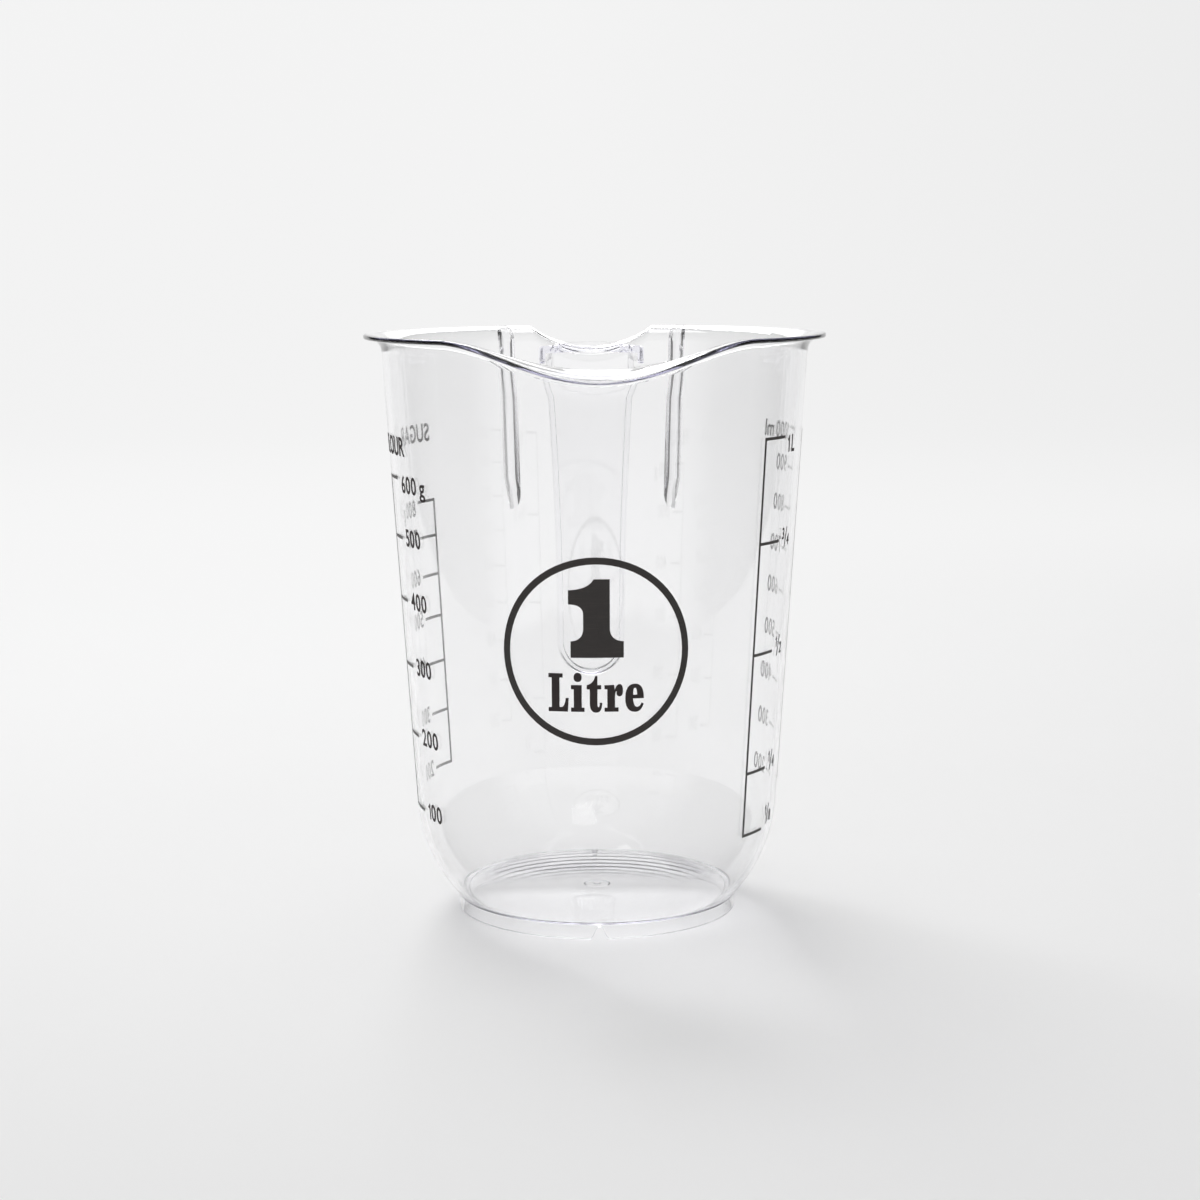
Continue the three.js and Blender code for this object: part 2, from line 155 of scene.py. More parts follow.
class JugSizes(bpy.types.PropertyGroup):
    """Sizes of the turned body, its rim and its foot."""

    height: length("Height", "Table to the rim", cad_high.z)
    mouth_radius: length("Mouth radius", "Outside of the wall's cone at the rim", 57.75 * MM)
    taper: angle("Taper", "Wall from upright", 3.68)
    wall: length("Wall", "Thickness of the wall", 1.5 * MM)
    bowl_radius: length("Bowl radius", "Round between the wall and the foot", 40.4 * MM)
    foot_radius: length("Foot radius", "Outside of the foot ring", 38.4 * MM)
    foot_height: length("Foot height", "Table to the bowl", 4.2 * MM)
    crease_round: length("Crease round", "Hollow round between the foot ring and the bowl", 1.2 * MM)
    foot_width: length("Foot width", "Thickness of the foot ring", 2.2 * MM)
    recess_depth: length("Recess", "Hollow under the floor", 3.8 * MM)
    recess_round: length("Recess round", "Round between the hollow and the foot ring", 0.3 * MM)
    floor: length("Floor", "Thickness of the floor", 1.2 * MM)
    gate_radius: length("Gate radius", "Round mark under the middle of the floor", 3.75 * MM)
    gate_depth: length("Gate depth", "Depth of that mark", 0.5 * MM)
    gate_stub: length("Gate stub", "Radius of the cut stub in that mark", 1.6 * MM)
    notch_width: length("Arch width", "Drain arch through the foot ring", 4.8 * MM)
    notch_height: length("Arch height", "Drain arch through the foot ring", 3.4 * MM)
    flange: length("Flange", "Thickness of the rim flange", 1.2 * MM)
    flare_radius: length("Flare radius", "Outside round under the rim flange", 3.6 * MM)
    crest_radius: length("Crest radius", "Inside round where the wall turns out into the rim flange", 5 * MM)
    lip_crest: length("Lip crest", "The same round in the middle of the pouring lip", 2 * MM)
    spout_half_angle: angle("Lip half angle", "Pouring lip, each side of its middle", 41)
    spout_drop: length("Lip drop", "The rim slides down the wall at the lip", 7 * MM)
    lip_droop: length("Lip droop", "The lip's edge below its root", 2.4 * MM)
    thumb_half_width: length("Thumb dip half width", "Dip in the rim over the handle", 18.2 * MM)
    thumb_depth: length("Thumb dip depth", "Dip in the rim over the handle", 6 * MM)
    edge_round: length("Edge round", "Round on the rim's edges", 0.45 * MM)
    foot_round: length("Foot round", "Round on the foot's lower edges", 0.15 * MM)


class HandleSizes(bpy.types.PropertyGroup):
    """Sizes of the hook handle and of the ribs beside it."""

    bridge_width: length("Bridge width", "Bridge where it meets the wall", 31 * MM)
    elbow_width: length("Elbow width", "Bridge where it bends down", 27.4 * MM)
    elbow_span: length("Elbow span", "Elbow's share of the bridge and of the grip", 9 * MM)
    elbow_round: length("Elbow round", "Outside round of the elbow", 1 * MM)
    end_width: length("End width", "Grip at its lower end", 21.5 * MM)
    end_height: length("End height", "Table to the grip's lower end", 49 * MM)
    depth: length("Depth", "Depth of the hollow section", 5 * MM)
    skin: length("Skin", "Thickness of the section's back", 2 * MM)
    edge: length("Edge", "Thickness of the section's sides", 1.8 * MM)
    outer_round: length("Outer round", "Round along the back's edges", 1 * MM)
    inner_round: length("Inner round", "Round along the free edges", 0.4 * MM)
    bridge_step: length("Bridge step", "Bridge below the bottom of the thumb dip", 0.06 * MM)
    rib_angle: angle("Rib angle", "Rib, each side of the handle", 25)
    rib_thickness: length("Rib thickness", "Thickness of a rib", 3.6 * MM)
    rib_depth: length("Rib depth", "Rib out from the wall", 4.1 * MM)
    rib_length: length("Rib length", "Rim to the rib's lower end", 53 * MM)
    rib_chamfer: length("Rib chamfer", "Slope at the rib's lower end", 8.5 * MM)
    rib_round: length("Rib round", "Round along the rib's edge towards the handle", 2.2 * MM)
    rib_edge: length("Rib edge", "Round along the rib's edge away from the handle", 0.3 * MM)


class PrintSizes(bpy.types.PropertyGroup):
    """Sizes of the printed figures and words."""

    clearance: length("Clearance", "Ink off the wall", 0.03 * MM)
    thickness: length("Thickness", "Ink film", 0.04 * MM)
    figure_height: length("Figure height", "Figures beside the ticks", 4.4 * MM)
    heading_height: length("Heading height", "Letters of a scale's heading", 4.8 * MM)
    heading_level: length("Heading level", "Table to the foot of the headings", 126.8 * MM)
    condense: number("Condense", "Width of the figures, as a share of the font's", 0.92)
    weight: number("Weight", "Figures' strokes, outset as a share of the font's size", 0.018)
    word_height: length("Word height", "Capital of the unit word in the badge", 10 * MM)
    word_width: length("Word width", "Unit word in the badge", 24.5 * MM)
    word_level: length("Word level", "Table to the foot of the unit word", 63.8 * MM)
    badge_angle: angle("Badge angle", "Badge from the pouring lip", -1)
    word: StringProperty(name="Unit word", description="Word under the badge's figure", default="Litre")


class JugFinishes(bpy.types.PropertyGroup):
    """Colours of the plastic and the ink."""

    plastic: colour("Plastic", "Tint of the clear plastic's faces", (0.992, 0.992, 0.993))
    depth_tint: colour("Depth tint", "Colour that long paths in the plastic take", (0.72, 0.70, 0.98))
    depth_density: number("Depth density", "How fast long paths take that colour, per metre", 6)
    shade: colour("Shade", "Light that each face of the plastic lets through to the floor", (0.96, 0.96, 0.962))
    shade_power: number("Shade power", "How fast a slanting face lets less light through", 5)
    ink: colour("Ink", "Printed ink", (0.017, 0.0125, 0.011))
    ink_worn: colour("Worn ink", "Printed ink where the film is thin", (0.042, 0.032, 0.028))


class StudioSettings(bpy.types.PropertyGroup):
    """Camera, floor and light."""

    camera_distance: length("Camera distance", "Jug's axis to the camera, level", 0.659)
    camera_height: length("Camera height", "Table to the camera", 0.1825)
    camera_turn: angle("Camera turn", "Camera's place round the jug, from the pouring lip", -1)
    camera_pitch: angle("Camera pitch", "Camera looks down", 8.42)
    camera_yaw: angle("Camera yaw", "Camera looks past the axis", -0.1)
    camera_roll: angle("Camera roll", "Camera about its own line of sight", -0.25)
    lens: FloatProperty(name="Lens", description="Focal length in millimetres", default=72.8, unit="CAMERA")
    floor: colour("Floor", "Floor and backdrop", (0.87, 0.87, 0.87))
    floor_white: colour("Floor white", "Floor and backdrop where they are seen", (0.93, 0.93, 0.93))
    lift_near: number("Lift near", "Share of that white round the jug", 0.1)
    lift_far: number("Lift far", "Share of that white in the backdrop", 0.94)
    lift_start: length("Lift start", "Where the floor begins to turn to that white", 0.1)
    lift_end: length("Lift end", "Where the floor has turned to that white", 0.9)
    # Painted shade: from this height up, the backdrop's white is dimmed where it is seen through the plastic.
    gap_start: length("Gap start", "Height over the picture where the backdrop dims, seen through the plastic", 0.5)
    gap_end: length("Gap end", "Height from which it is dimmest", 0.75)
    gap: number("Gap", "What that white loses there", 0.55)
    # Painted light: from this height up, the backdrop's white glows in reflections only, a glow that is no lamp.
    glow_start: length("Glow start", "Height where the backdrop begins to glow in reflections", 0.75)
    glow_end: length("Glow end", "Height from which it glows most", 1.1)
    glow: number("Glow", "What that white gains there", 2.4)
    # Painted shade: the backdrop's white is darker towards the right, a painted falloff of light.
    fade: number("Fade", "What that white keeps at the right", 0.92)


# The jug's own lines, as radius and height about its axis


def arc(centre, radius, start, end, steps):
    """Points (radius, height) on an arc."""
    turns = [start + (end - start) * i / steps for i in range(steps + 1)]
    return [(centre[0] + radius * math.cos(t), centre[1] + radius * math.sin(t)) for t in turns]


def cone_radius(jug, z):
    """Outside radius of the wall's cone at a height."""
    return jug.mouth_radius - (jug.height - z) * math.tan(jug.taper)


def floor_top(jug):
    """Height of the inside of the floor."""
    return jug.recess_depth + jug.floor


def bowl_centre(jug):
    """Middle of the bowl's round, tangent to the wall and meeting the foot ring's top edge."""
    slope = math.tan(jug.taper)
    rise = jug.height + jug.bowl_radius * math.sin(jug.taper)
    base = jug.mouth_radius - rise * slope - jug.bowl_radius * math.cos(jug.taper)
    reach = jug.foot_radius - base
    half = slope * reach + jug.foot_height
    rest = reach**2 + jug.foot_height**2 - jug.bowl_radius**2
    square = 1 + slope**2
    z = (half + math.sqrt(half**2 - square * rest)) / square
    return base + slope * z, z


def flare_height(jug):
    """Height of the middle of the rim's flare."""
    return jug.height - jug.flange - jug.flare_radius


def flare_line(jug, inset, radius, top):
    """Round that turns the wall's line out into a level at the top."""
    middle = top - radius
    foot = middle + radius * math.sin(jug.taper)
    wall = cone_radius(jug, foot) - inset / math.cos(jug.taper)
    return arc((wall + radius * math.cos(jug.taper), middle), radius, math.pi - jug.taper, math.pi / 2, FLARE_STEPS)


def wall_line(jug, inset, start_height, flare):
    """Bowl, wall and flare from a height in the bowl up to the flat of the flange, set in from the outside."""
    bowl = bowl_centre(jug)
    radius = jug.bowl_radius - inset
    start = -math.asin((bowl[1] - start_height) / radius)
    line = arc(bowl, radius, start, -jug.taper, BOWL_STEPS)
    low = Vector(line[-1])
    high = Vector(flare[0])
    lip_room = jug.spout_drop + jug.lip_droop
    top_ring = (high.y - lip_room - low.y) / (high.y - low.y)
    rings = [tuple(low.lerp(high, top_ring * i / WALL_STEPS)) for i in range(1, WALL_STEPS + 1)]
    return line + rings + flare


def crease_line(jug):
    """Hollow round between the foot ring and the bowl."""
    bowl = bowl_centre(jug)
    radius = jug.crease_round
    side = jug.foot_radius + radius - bowl[0]
    drop = math.sqrt((jug.bowl_radius + radius) ** 2 - side**2)
    centre = (jug.foot_radius + radius, bowl[1] - drop)
    return arc(centre, radius, math.pi, math.pi - math.atan2(drop, side), ROUND_STEPS)


def body_line(jug, spout):
    """Closed section of the body, from the axis under the floor round to the axis on the floor."""
    r = jug.edge_round
    foot_in = jug.foot_radius - jug.foot_width
    under = jug.recess_depth
    top = under + jug.gate_depth
    stub_turn = math.acos(1 - jug.gate_depth / jug.gate_stub)
    gate = arc((0, under + jug.gate_stub), jug.gate_stub, -math.pi / 2, stub_turn - math.pi / 2, ROUND_STEPS)
    gate += [(jug.gate_radius - jug.gate_depth, top), (jug.gate_radius, under)]
    recess = jug.recess_round
    low = jug.foot_round
    foot = (
        arc((foot_in - recess, under - recess), recess, math.pi / 2, 0, ROUND_STEPS)
        + arc((foot_in + low, low), low, math.pi, 1.5 * math.pi, ROUND_STEPS)
        + arc((jug.foot_radius - low, low), low, -math.pi / 2, 0, ROUND_STEPS)
    )
    edge_r = FLANGE_RADIUS - r
    edge = arc((edge_r, jug.height - jug.flange + r), r, -math.pi / 2, 0, ROUND_STEPS) + arc(
        (edge_r, jug.height - r), r, 0, math.pi / 2, ROUND_STEPS
    )
    flare = flare_line(jug, 0, jug.flare_radius, jug.height - jug.flange)
    crest_radius = jug.crest_radius + (jug.lip_crest - jug.crest_radius) * spout**3
    crest = flare_line(jug, jug.wall, crest_radius, jug.height)
    crease = crease_line(jug)
    outside = crease[:-1] + wall_line(jug, 0, crease[-1][1], flare)
    inside = wall_line(jug, jug.wall, floor_top(jug), crest)
    return gate + foot + outside + edge + inside[::-1] + [(0, floor_top(jug))]


def core_line(jug):
    """Section of everything inside the middle of the wall, the same all round."""
    top = jug.height + HANDLE_REACH
    flare = flare_line(jug, jug.wall / 2, jug.flare_radius, jug.height - jug.flange / 2)
    line = wall_line(jug, jug.wall / 2, floor_top(jug), flare)
    return [(0, floor_top(jug))] + line + [(line[-1][0], top), (0, top)]


def spout_share(jug, turn):
    """How much of the lip's drop and reach a place on the rim takes. The lip's middle is at turn 0."""
    share = abs(turn) / jug.spout_half_angle
    return math.cos(share * math.pi / 2) ** 2 if share < 1 else 0


def thumb_drop(jug, turn):
    """Depth of the thumb dip at a place on the rim, a round cut with soft corners."""
    behind = math.pi - abs(turn)
    if behind > math.pi / 4:
        return 0
    radius = (jug.thumb_half_width**2 + jug.thumb_depth**2) / (2 * jug.thumb_depth)
    side = FLANGE_RADIUS * math.sin(behind)
    if side >= radius:
        return 0
    cut = math.sqrt(radius**2 - side**2) - radius + jug.thumb_depth
    soft = jug.edge_round / 2
    return (cut + math.sqrt(cut**2 + soft**2)) / 2


def rim_place(jug, radius, z, turn):
    """Where a point of the turned rim goes: it slides down the wall in the dips, and the lip droops and reaches out."""
    if not flare_height(jug) < z <= jug.height + jug.edge_round:
        return radius, z
    flange_reach = FLANGE_RADIUS - jug.mouth_radius
    out = min(1, max(0, (radius - cone_radius(jug, z)) / flange_reach))
    spout = spout_share(jug, turn)
    drop = spout * jug.spout_drop + thumb_drop(jug, turn)
    moved = radius - drop * math.tan(jug.taper) * (1 - out) + out * spout * LIP_REACH
    return moved, z - drop - out * spout * jug.lip_droop


# Meshes


def turned(jug, section):
    """A section turned about the jug's axis, with the rim's lip and dip in it. It changes with the lip's share."""
    bm = bmesh.new()
    line = section(0)
    finder = KDTree(len(line))
    for i, (radius, z) in enumerate(line):
        finder.insert((radius, 0, z), i)
    finder.balance()
    lines = {}
    points = [bm.verts.new((radius, 0, z)) for radius, z in line]
    edges = [bm.edges.new(pair) for pair in zip(points, points[1:])]
    bmesh.ops.spin(
        bm,
        geom=points + edges,
        cent=(0, 0, 0),
        axis=(0, 0, 1),
        angle=2 * math.pi,
        steps=TURN_STEPS,
        use_merge=True,
    )
    bmesh.ops.remove_doubles(bm, verts=bm.verts, dist=MERGE)
    for vert in bm.verts:
        turn = math.atan2(vert.co.x, -vert.co.y)
        index = finder.find((math.hypot(vert.co.x, vert.co.y), 0, vert.co.z))[1]
        spout = round(spout_share(jug, turn), 4)
        if spout not in lines:
            lines[spout] = section(spout)
        radius, z = rim_place(jug, *lines[spout][index], turn)
        vert.co = (radius * math.sin(turn), -radius * math.cos(turn), z)
    bmesh.ops.recalc_face_normals(bm, faces=bm.faces)
    return bm


def flat_face(bm, points):
    """One face through points."""
    return bm.faces.new([bm.verts.new(point) for point in points])


def push(bm, faces, vector):
    """Extrudes faces and moves the new ones. Returns the new faces."""
    made = bmesh.ops.extrude_face_region(bm, geom=faces)["geom"]
    moved = [item for item in made if isinstance(item, bmesh.types.BMVert)]
    bmesh.ops.translate(bm, verts=moved, vec=vector)
    return [item for item in made if isinstance(item, bmesh.types.BMFace)]


def round_edges(bm, edges, radius):
    """Rounds edges."""
    bmesh.ops.bevel(
        bm,
        geom=list(edges),
        offset=radius,
        offset_type="OFFSET",
        affect="EDGES",
        segments=ROUND_STEPS,
        profile=0.5,
        material=-1,
        clamp_overlap=True,
    )


def bezier(a, b, c, d):
    """Points on a cubic curve, without its last one."""
    places = []
    for i in range(CURVE_STEPS):
        t = i / CURVE_STEPS
        weights = ((1 - t) ** 3, 3 * t * (1 - t) ** 2, 3 * t**2 * (1 - t), t**3)
        places.append(sum((w * Vector(p) for w, p in zip(weights, (a, b, c, d))), Vector((0, 0))))
    return [tuple(place) for place in places]


def elbow_start(handle):
    """Where the elbow begins, along the handle's back from the jug's axis."""
    return HANDLE_REACH - handle.elbow_span


def handle_outline(jug, handle):
    """Right half of the handle laid flat: half width and distance along its back, from the jug's axis."""
    root_radius = cone_radius(jug, jug.height - jug.thumb_depth)
    root = handle.bridge_width / 2
    root_y = math.sqrt(root_radius**2 - root**2)
    elbow = handle.elbow_width / 2
    elbow_y = elbow_start(handle)
    waist = (root_y + elbow_y) / 2
    grip = elbow_y + handle.elbow_span * math.pi / 2
    end = handle.end_width / 2
    elbow_z = jug.height - jug.thumb_depth - handle.elbow_span
    end_y = grip + elbow_z - handle.end_height - end
    middle = (grip + end_y) / 2
    bridge = bezier((root, root_y), (root, waist), (elbow, waist), (elbow, elbow_y))
    side = bezier((elbow, grip), ((elbow + 2 * end) / 3, (grip + 2 * middle) / 3),
                  (end, (end_y + 2 * middle) / 3), (end, end_y))
    tip = arc((0, end_y), end, 0, math.pi / 2, CURVE_STEPS)[:-1]
    return [(root, root_y - root_radius / 4)] + bridge + [(elbow, elbow_y)] + side + tip + [(0, end_y + end)]


def corner_reach(turn, side, radius):
    """Distance from the inside corner of a square to its rounded outside corner, at a turn from upright."""
    straight = side - radius
    across, up = math.sin(turn), math.cos(turn)
    if side * across <= straight * up:
        return side / up
    if side * up <= straight * across:
        return side / across
    middle = straight * (across + up)
    return middle + math.sqrt(middle**2 - 2 * straight**2 + radius**2)


def handle_bend(jug, handle, point):
    """Folds the flat handle: bridge level, elbow with a round corner, grip hanging."""
    x, along, out = point
    top = jug.height - jug.thumb_depth - handle.bridge_step
    elbow_y = elbow_start(handle)
    turn = (along - elbow_y) / handle.elbow_span
    if turn <= 0:
        return x, along, top + out
    side = handle.elbow_span + out
    elbow_z = top - handle.elbow_span
    if turn < math.pi / 2:
        reach = corner_reach(turn, side, max(handle.elbow_round + out, handle.inner_round))
        return x, elbow_y + reach * math.sin(turn), elbow_z + reach * math.cos(turn)
    fallen = (turn - math.pi / 2) * handle.elbow_span
    return x, elbow_y + side, elbow_z - fallen


def handle_mesh(jug, handle):
    """A flat tray with rounded edges, cut across and folded into the hook handle."""
    half = handle_outline(jug, handle)
    bm = bmesh.new()
    outline = [(x, y, 0) for x, y in half] + [(-x, y, 0) for x, y in half[-2::-1]]
    back = flat_face(bm, outline)
    under = push(bm, [back], (0, 0, -handle.depth))
    bmesh.ops.recalc_face_normals(bm, faces=bm.faces)
    bmesh.ops.inset_region(bm, faces=under, thickness=handle.edge, use_even_offset=True)
    push(bm, under, (0, 0, handle.depth - handle.skin))
    bmesh.ops.delete(bm, geom=under, context="FACES_ONLY")
    bmesh.ops.recalc_face_normals(bm, faces=bm.faces)
    level = {0: handle.outer_round, -handle.depth: handle.inner_round}
    for z, radius in level.items():
        flat = [e for e in bm.edges if all(abs(v.co.z - z) < SAME_PLACE for v in e.verts)]
        round_edges(bm, [e for e in flat if e.calc_face_angle(0) > CORNER_ANGLE], radius)
    elbow_y = elbow_start(handle)
    grip_y = elbow_y + handle.elbow_span * math.pi / 2
    end_y = half[-1][1] - handle.end_width / 2
    cuts = [elbow_y + (grip_y - elbow_y) * i / ELBOW_CUTS for i in range(ELBOW_CUTS + 1)]
    cuts += [grip_y + (end_y - grip_y) * i / GRIP_CUTS for i in range(1, GRIP_CUTS)]
    for cut in cuts:
        everything = bm.verts[:] + bm.edges[:] + bm.faces[:]
        bmesh.ops.bisect_plane(bm, geom=everything, dist=SAME_PLACE, plane_co=(0, cut, 0), plane_no=(0, 1, 0))
    for vert in bm.verts:
        vert.co = handle_bend(jug, handle, vert.co)
    bmesh.ops.recalc_face_normals(bm, faces=bm.faces)
    return bm


def rib_mesh(jug, handle, side):
    """A plate in the plane of the axis, beside the handle."""
    bottom = jug.height - handle.rib_length
    top = jug.height - jug.flange / 2
    root = cone_radius(jug, bottom)
    inner = root - 2 * jug.wall
    low = bottom + handle.rib_chamfer
    low_edge = cone_radius(jug, low) + handle.rib_depth
    top_edge = cone_radius(jug, top) + handle.rib_depth
    x = -handle.rib_thickness / 2
    points = [(inner, bottom), (root, bottom), (low_edge, low), (top_edge, top), (inner, top)]
    bm = bmesh.new()
    face = flat_face(bm, [(x, radius, z) for radius, z in points])
    push(bm, [face], (handle.rib_thickness, 0, 0))
    bmesh.ops.recalc_face_normals(bm, faces=bm.faces)
    for edge_side, radius in ((side, handle.rib_round), (-side, handle.rib_edge)):
        free = [e for e in bm.edges if all(v.co.y > root - SAME_PLACE and v.co.x * edge_side > 0 for v in e.verts)]
        round_edges(bm, free, radius)
    turn = Matrix.Rotation(side * handle.rib_angle, 3, "Z")
    bmesh.ops.rotate(bm, verts=bm.verts, matrix=turn)
    return bm


def arch_mesh(jug, side):
    """Cutter for the drain arch through one side of the foot ring."""
    half = jug.notch_width / 2
    top = jug.notch_height
    rise = bezier((half, 0), (half / 2, top / 3), (half / 2, top), (0, top))
    low = -jug.foot_height
    right = [(half, low)] + rise
    outline = right + [(0, top)] + [(-x, z) for x, z in right[::-1]]
    near = side * (jug.foot_radius - jug.foot_width / 2) - jug.foot_width
    bm = bmesh.new()
    face = flat_face(bm, [(x, near, z) for x, z in outline])
    push(bm, [face], (0, 2 * jug.foot_width, 0))
    bmesh.ops.recalc_face_normals(bm, faces=bm.faces)
    return bm


def new_object(name, bm):
    """A mesh object at the origin, made from a bmesh about the jug's axis."""
    bmesh.ops.translate(bm, verts=bm.verts, vec=(0, AXIS_Y, 0))
    mesh = bpy.data.meshes.new(name)
    bm.to_mesh(mesh)
    bm.free()
    made = bpy.data.objects.new(name, mesh)
    bpy.context.scene.collection.objects.link(made)
    return made


def take_mesh(piece):
    """The piece's mesh with its modifiers applied."""
    graph = bpy.context.evaluated_depsgraph_get()
    return bpy.data.meshes.new_from_object(piece.evaluated_get(graph))


def combine(piece, other, operation):
    """Joins other to the piece, or cuts it away, and removes it."""
    step = piece.modifiers.new(operation.title(), "BOOLEAN")
    step.operation = operation
    step.solver = "MANIFOLD"
    step.object = other
    mesh = take_mesh(piece)
    piece.modifiers.clear()
    piece.data = mesh
    bpy.data.objects.remove(other)


def smooth(piece):
    """Smooth shading with the real corners kept."""
    piece.data.shade_smooth()
    piece.data.set_sharp_from_angle(angle=CORNER_ANGLE)


def wrapped(jug, prints, bm, turn, level):
    """Bends a flat print round the wall: its x runs round the jug, its y is the height above a level."""
    for vert in bm.verts:
        z = level + vert.co.y
        place = turn + vert.co.x / cone_radius(jug, z)
        radius = cone_radius(jug, z) + prints.clearance + vert.co.z
        vert.co = (radius * math.sin(place), -radius * math.cos(place), z)


# Materials


def fill(tree, made, inputs):
    """Gives a node's inputs their values, or links them to other nodes' outputs."""
    for name, value in inputs.items():
        if isinstance(value, bpy.types.NodeSocket):
            tree.links.new(value, made.inputs[name])
        else:
            made.inputs[name].default_value = value


def node(tree, kind, place, inputs=None, **values):
    """Adds a node at a place on the sheet, sets its own values and fills its inputs."""
    made = tree.nodes.new(kind)
    made.location = place
    for name, value in values.items():
        setattr(made, name, value)
    fill(tree, made, inputs or {})
    return made


def calculated(tree, operation, place, *terms):
    """Output of a Math node on its terms."""
    return node(tree, "ShaderNodeMath", place, dict(enumerate(terms)), operation=operation).outputs[0]


def ramp(tree, place, source, start, end, low, high, **values):
    """Output of a Map Range node that takes a source from start and end to low and high."""
    inputs = {"Value": source, "From Min": start, "From Max": end, "To Min": low, "To Max": high}
    return node(tree, "ShaderNodeMapRange", place, inputs, **values).outputs["Result"]


def new_material(name):
    """A material with its Principled shader."""
    made = bpy.data.materials.new(name)
    made.use_nodes = True
    return made, made.node_tree, made.node_tree.nodes["Principled BSDF"]


def blend(tree, share, first, second):
    """Mixes two shaders into the surface of a material. Returns the material's output."""
    mix = node(tree, "ShaderNodeMixShader", (500, 300), {"Fac": share, 1: first, 2: second})
    out = tree.nodes["Material Output"]
    out.location = (750, 300)
    fill(tree, out, {"Surface": mix.outputs["Shader"]})
    return out


def streak_group():
    """Shader group: fine level streaks, as a screen print leaves, with broken patches."""
    group = bpy.data.node_groups.new("print_streaks", "ShaderNodeTree")
    face = group.interface
    face.new_socket("Scale", in_out="INPUT", socket_type="NodeSocketFloat")
    face.new_socket("Streaks", in_out="OUTPUT", socket_type="NodeSocketFloat")
    start = node(group, "NodeGroupInput", (-800, 0))
    place = node(group, "ShaderNodeTexCoord", (-800, 200)).outputs["Object"]
    stretch = node(group, "ShaderNodeMapping", (-600, 200), {"Vector": place, "Scale": STREAK_STRETCH})
    inputs = {"Vector": stretch.outputs["Vector"], "Scale": start.outputs["Scale"], "Detail": 3}
    lines = node(group, "ShaderNodeTexNoise", (-400, 200), inputs)
    patch = node(group, "ShaderNodeTexNoise", (-400, -100), {"Vector": place, "Scale": PATCH_SCALE})
    sharp = ramp(group, (-200, 200), lines.outputs["Fac"], *STREAK_EDGE, 0, 1)
    both = calculated(group, "MULTIPLY", (200, 100), sharp, patch.outputs["Fac"])
    node(group, "NodeGroupOutput", (600, 0), {"Streaks": both})
    return group


def ink_material(finish, streaks):
    """Near-black screen ink, a little streaky."""
    made, tree, shader = new_material("printed_ink")
    group = node(tree, "ShaderNodeGroup", (-700, 200), {"Scale": STREAK_SCALE}, node_tree=streaks)
    worn = group.outputs["Streaks"]
    inputs = {"Factor": worn, "A": (*finish.ink, 1), "B": (*finish.ink_worn, 1)}
    tint = node(tree, "ShaderNodeMix", (-350, 250), inputs, data_type="RGBA")
    matt = ramp(tree, (-350, -50), worn, 0, 1, *INK_ROUGHNESS)
    fill(tree, shader, {"Base Color": tint.outputs["Result"], "Roughness": matt})
    return made


def plastic_material(finish):
    """Clear polished plastic with faint waves from the mould, violet where light goes far through it.

    Light on its way to the floor goes straight through, less of it at a slant.
    """
    made, tree, shader = new_material("clear_plastic")
    place = node(tree, "ShaderNodeTexCoord", (-1100, 100)).outputs["Object"]
    wave = node(tree, "ShaderNodeTexNoise", (-800, -150), {"Vector": place, "Scale": WAVE_SCALE, "Detail": 1})
    inputs = {"Height": wave.outputs["Fac"], "Strength": WAVE_STRENGTH, "Distance": WAVE_DEPTH}
    bump = node(tree, "ShaderNodeBump", (-350, -150), inputs)
    haze = node(tree, "ShaderNodeTexNoise", (-800, 150), {"Vector": place, "Scale": HAZE_SCALE, "Detail": 5})
    rough = ramp(tree, (-350, 150), haze.outputs["Fac"], *HAZE_EDGE, *PLASTIC_ROUGHNESS)
    inputs = {"Base Color": (*finish.plastic, 1), "IOR": PLASTIC_IOR, "Transmission Weight": 1}
    fill(tree, shader, {**inputs, "Roughness": rough, "Normal": bump.outputs["Normal"]})
    path = node(tree, "ShaderNodeLightPath", (0, 700)).outputs
    lamps = calculated(tree, "MAXIMUM", (250, 600), path["Is Shadow Ray"], path["Is Diffuse Ray"])
    slant = node(tree, "ShaderNodeLayerWeight", (-350, 450), {"Blend": 0.5})
    steep = calculated(tree, "POWER", (-150, 450), slant.outputs["Facing"], finish.shade_power)
    passed = calculated(tree, "SUBTRACT", (50, 450), 1, steep)
    share = calculated(tree, "MULTIPLY", (400, 550), lamps, passed)
    clear = node(tree, "ShaderNodeBsdfTransparent", (250, 400), {"Color": (*finish.shade, 1)})
    out = blend(tree, share, shader.outputs["BSDF"], clear.outputs["BSDF"])
    inputs = {"Color": (*finish.depth_tint, 1), "Density": finish.depth_density}
    depth = node(tree, "ShaderNodeVolumeAbsorption", (0, -450), inputs)
    fill(tree, out, {"Volume": depth.outputs["Volume"]})
    return made


